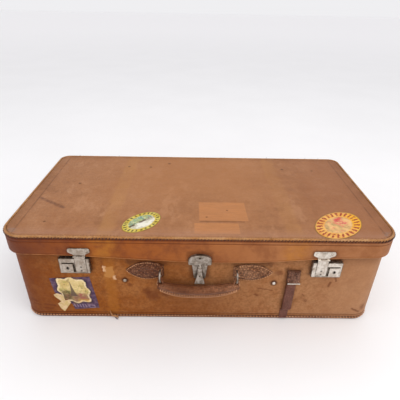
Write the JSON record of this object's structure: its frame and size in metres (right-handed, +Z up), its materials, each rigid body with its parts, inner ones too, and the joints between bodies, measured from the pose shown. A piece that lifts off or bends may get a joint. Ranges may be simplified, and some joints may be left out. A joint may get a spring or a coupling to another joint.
{
  "type": "leather suitcase",
  "caption": "Vintage stitched leather suitcase lying flat, with a hinged lid, sliding-button locks, a centre hasp and a carrying handle.",
  "frame": {"origin": "on the floor under the middle of the closed case, in the plan centre of the lid", "axes": "+X to the right along the front, -Y out of the front with the locks and the handle, +Z up"},
  "size_m": [0.7, 0.3811, 0.2007],
  "materials": {
    "leather_case": "worn tan cowhide with fine grain and darker rubbed edges",
    "leather_edge": "stitched edge leather, slightly darker",
    "leather_handle": "dark brown handle leather, pebbled and stitched",
    "leather_strap": "dark red-brown strap leather",
    "lining_cloth": "plain woven cotton over board",
    "nickel": "dull nickel plate",
    "steel": "plain dull steel",
    "paper_oval": "printed paper label, faded",
    "paper_round": "printed paper label, faded",
    "paper_square": "printed paper label, faded and torn"
  },
  "bodies": {
    "case": {"body_shell": "leather_case", "bottom_welt": "leather_edge", "handle_chape_left": "leather_handle", "handle_chape_right": "leather_handle", "strap_tab": "leather_strap", "strap": "leather_strap", "strap_foot": "leather_strap", "body_lining": "lining_cloth", "lock_case_left": "nickel", "lock_case_right": "nickel", "centre_base_plate": "nickel", "handle_ring_left": "nickel", "handle_ring_right": "nickel", "stud_left": "nickel", "stud_right": "nickel", "strap_bar": "nickel", "hinge_leaf_body_left": "steel", "hinge_leaf_body_right": "steel", "hinge_pin_left": "steel", "hinge_pin_right": "steel", "hinge_rivet_body_left_a": "steel", "hinge_rivet_body_left_b": "steel", "hinge_rivet_body_right_a": "steel", "hinge_rivet_body_right_b": "steel", "label_square": "paper_square"},
    "lid": {"lid_shell": "leather_case", "lid_lining": "lining_cloth", "lid_welt": "leather_edge", "label_oval": "paper_oval", "label_round": "paper_round", "centre_casing": "nickel", "centre_pin": "nickel", "hasp_flange_left": "nickel", "hasp_flange_right": "nickel", "hasp_pin_left": "nickel", "hasp_pin_right": "nickel", "hasp_rivet_left_a": "nickel", "hasp_rivet_left_b": "nickel", "hasp_rivet_right_a": "nickel", "hasp_rivet_right_b": "nickel", "hinge_leaf_lid_left": "steel", "hinge_leaf_lid_right": "steel", "hinge_rivet_lid_left_a": "steel", "hinge_rivet_lid_left_b": "steel", "hinge_rivet_lid_right_a": "steel", "hinge_rivet_lid_right_b": "steel"},
    "hasp_left": {"hasp_tongue_left": "nickel"},
    "hasp_right": {"hasp_tongue_right": "nickel"},
    "centre_hasp": {"centre_hasp": "nickel"},
    "handle": {"handle_grip": "leather_handle"},
    "button_left": {"lock_button_left": "nickel"},
    "button_right": {"lock_button_right": "nickel"}
  },
  "joints": [
    {"name": "lid_hinge", "type": "hinge", "parent": "case", "child": "lid", "pos_m": [0, 0.1812, 0.16], "axis": [-1, 0, 0], "range_deg": [0, 105]},
    {"name": "hasp_left_swing", "type": "hinge", "parent": "lid", "child": "hasp_left", "pos_m": [-0.212, -0.1797, 0.1585], "axis": [-1, 0, 0], "range_deg": [0, 100]},
    {"name": "hasp_right_swing", "type": "hinge", "parent": "lid", "child": "hasp_right", "pos_m": [0.219, -0.1797, 0.157], "axis": [-1, 0, 0], "range_deg": [0, 100]},
    {"name": "centre_hasp_swing", "type": "hinge", "parent": "lid", "child": "centre_hasp", "pos_m": [0, -0.1812, 0.158], "axis": [-1, 0, 0], "range_deg": [0, 100]},
    {"name": "handle_swing", "type": "hinge", "parent": "case", "child": "handle", "pos_m": [-0.002, -0.1847, 0.121], "axis": [-1, 0, 0], "range_deg": [0, 100]},
    {"name": "button_left_slide", "type": "slide", "parent": "case", "child": "button_left", "axis": [1, 0, 0], "range_m": [0, 0.003], "stiffness_N_per_m": 200},
    {"name": "button_right_slide", "type": "slide", "parent": "case", "child": "button_right", "axis": [-1, 0, 0], "range_m": [0, 0.003], "stiffness_N_per_m": 200}
  ]
}
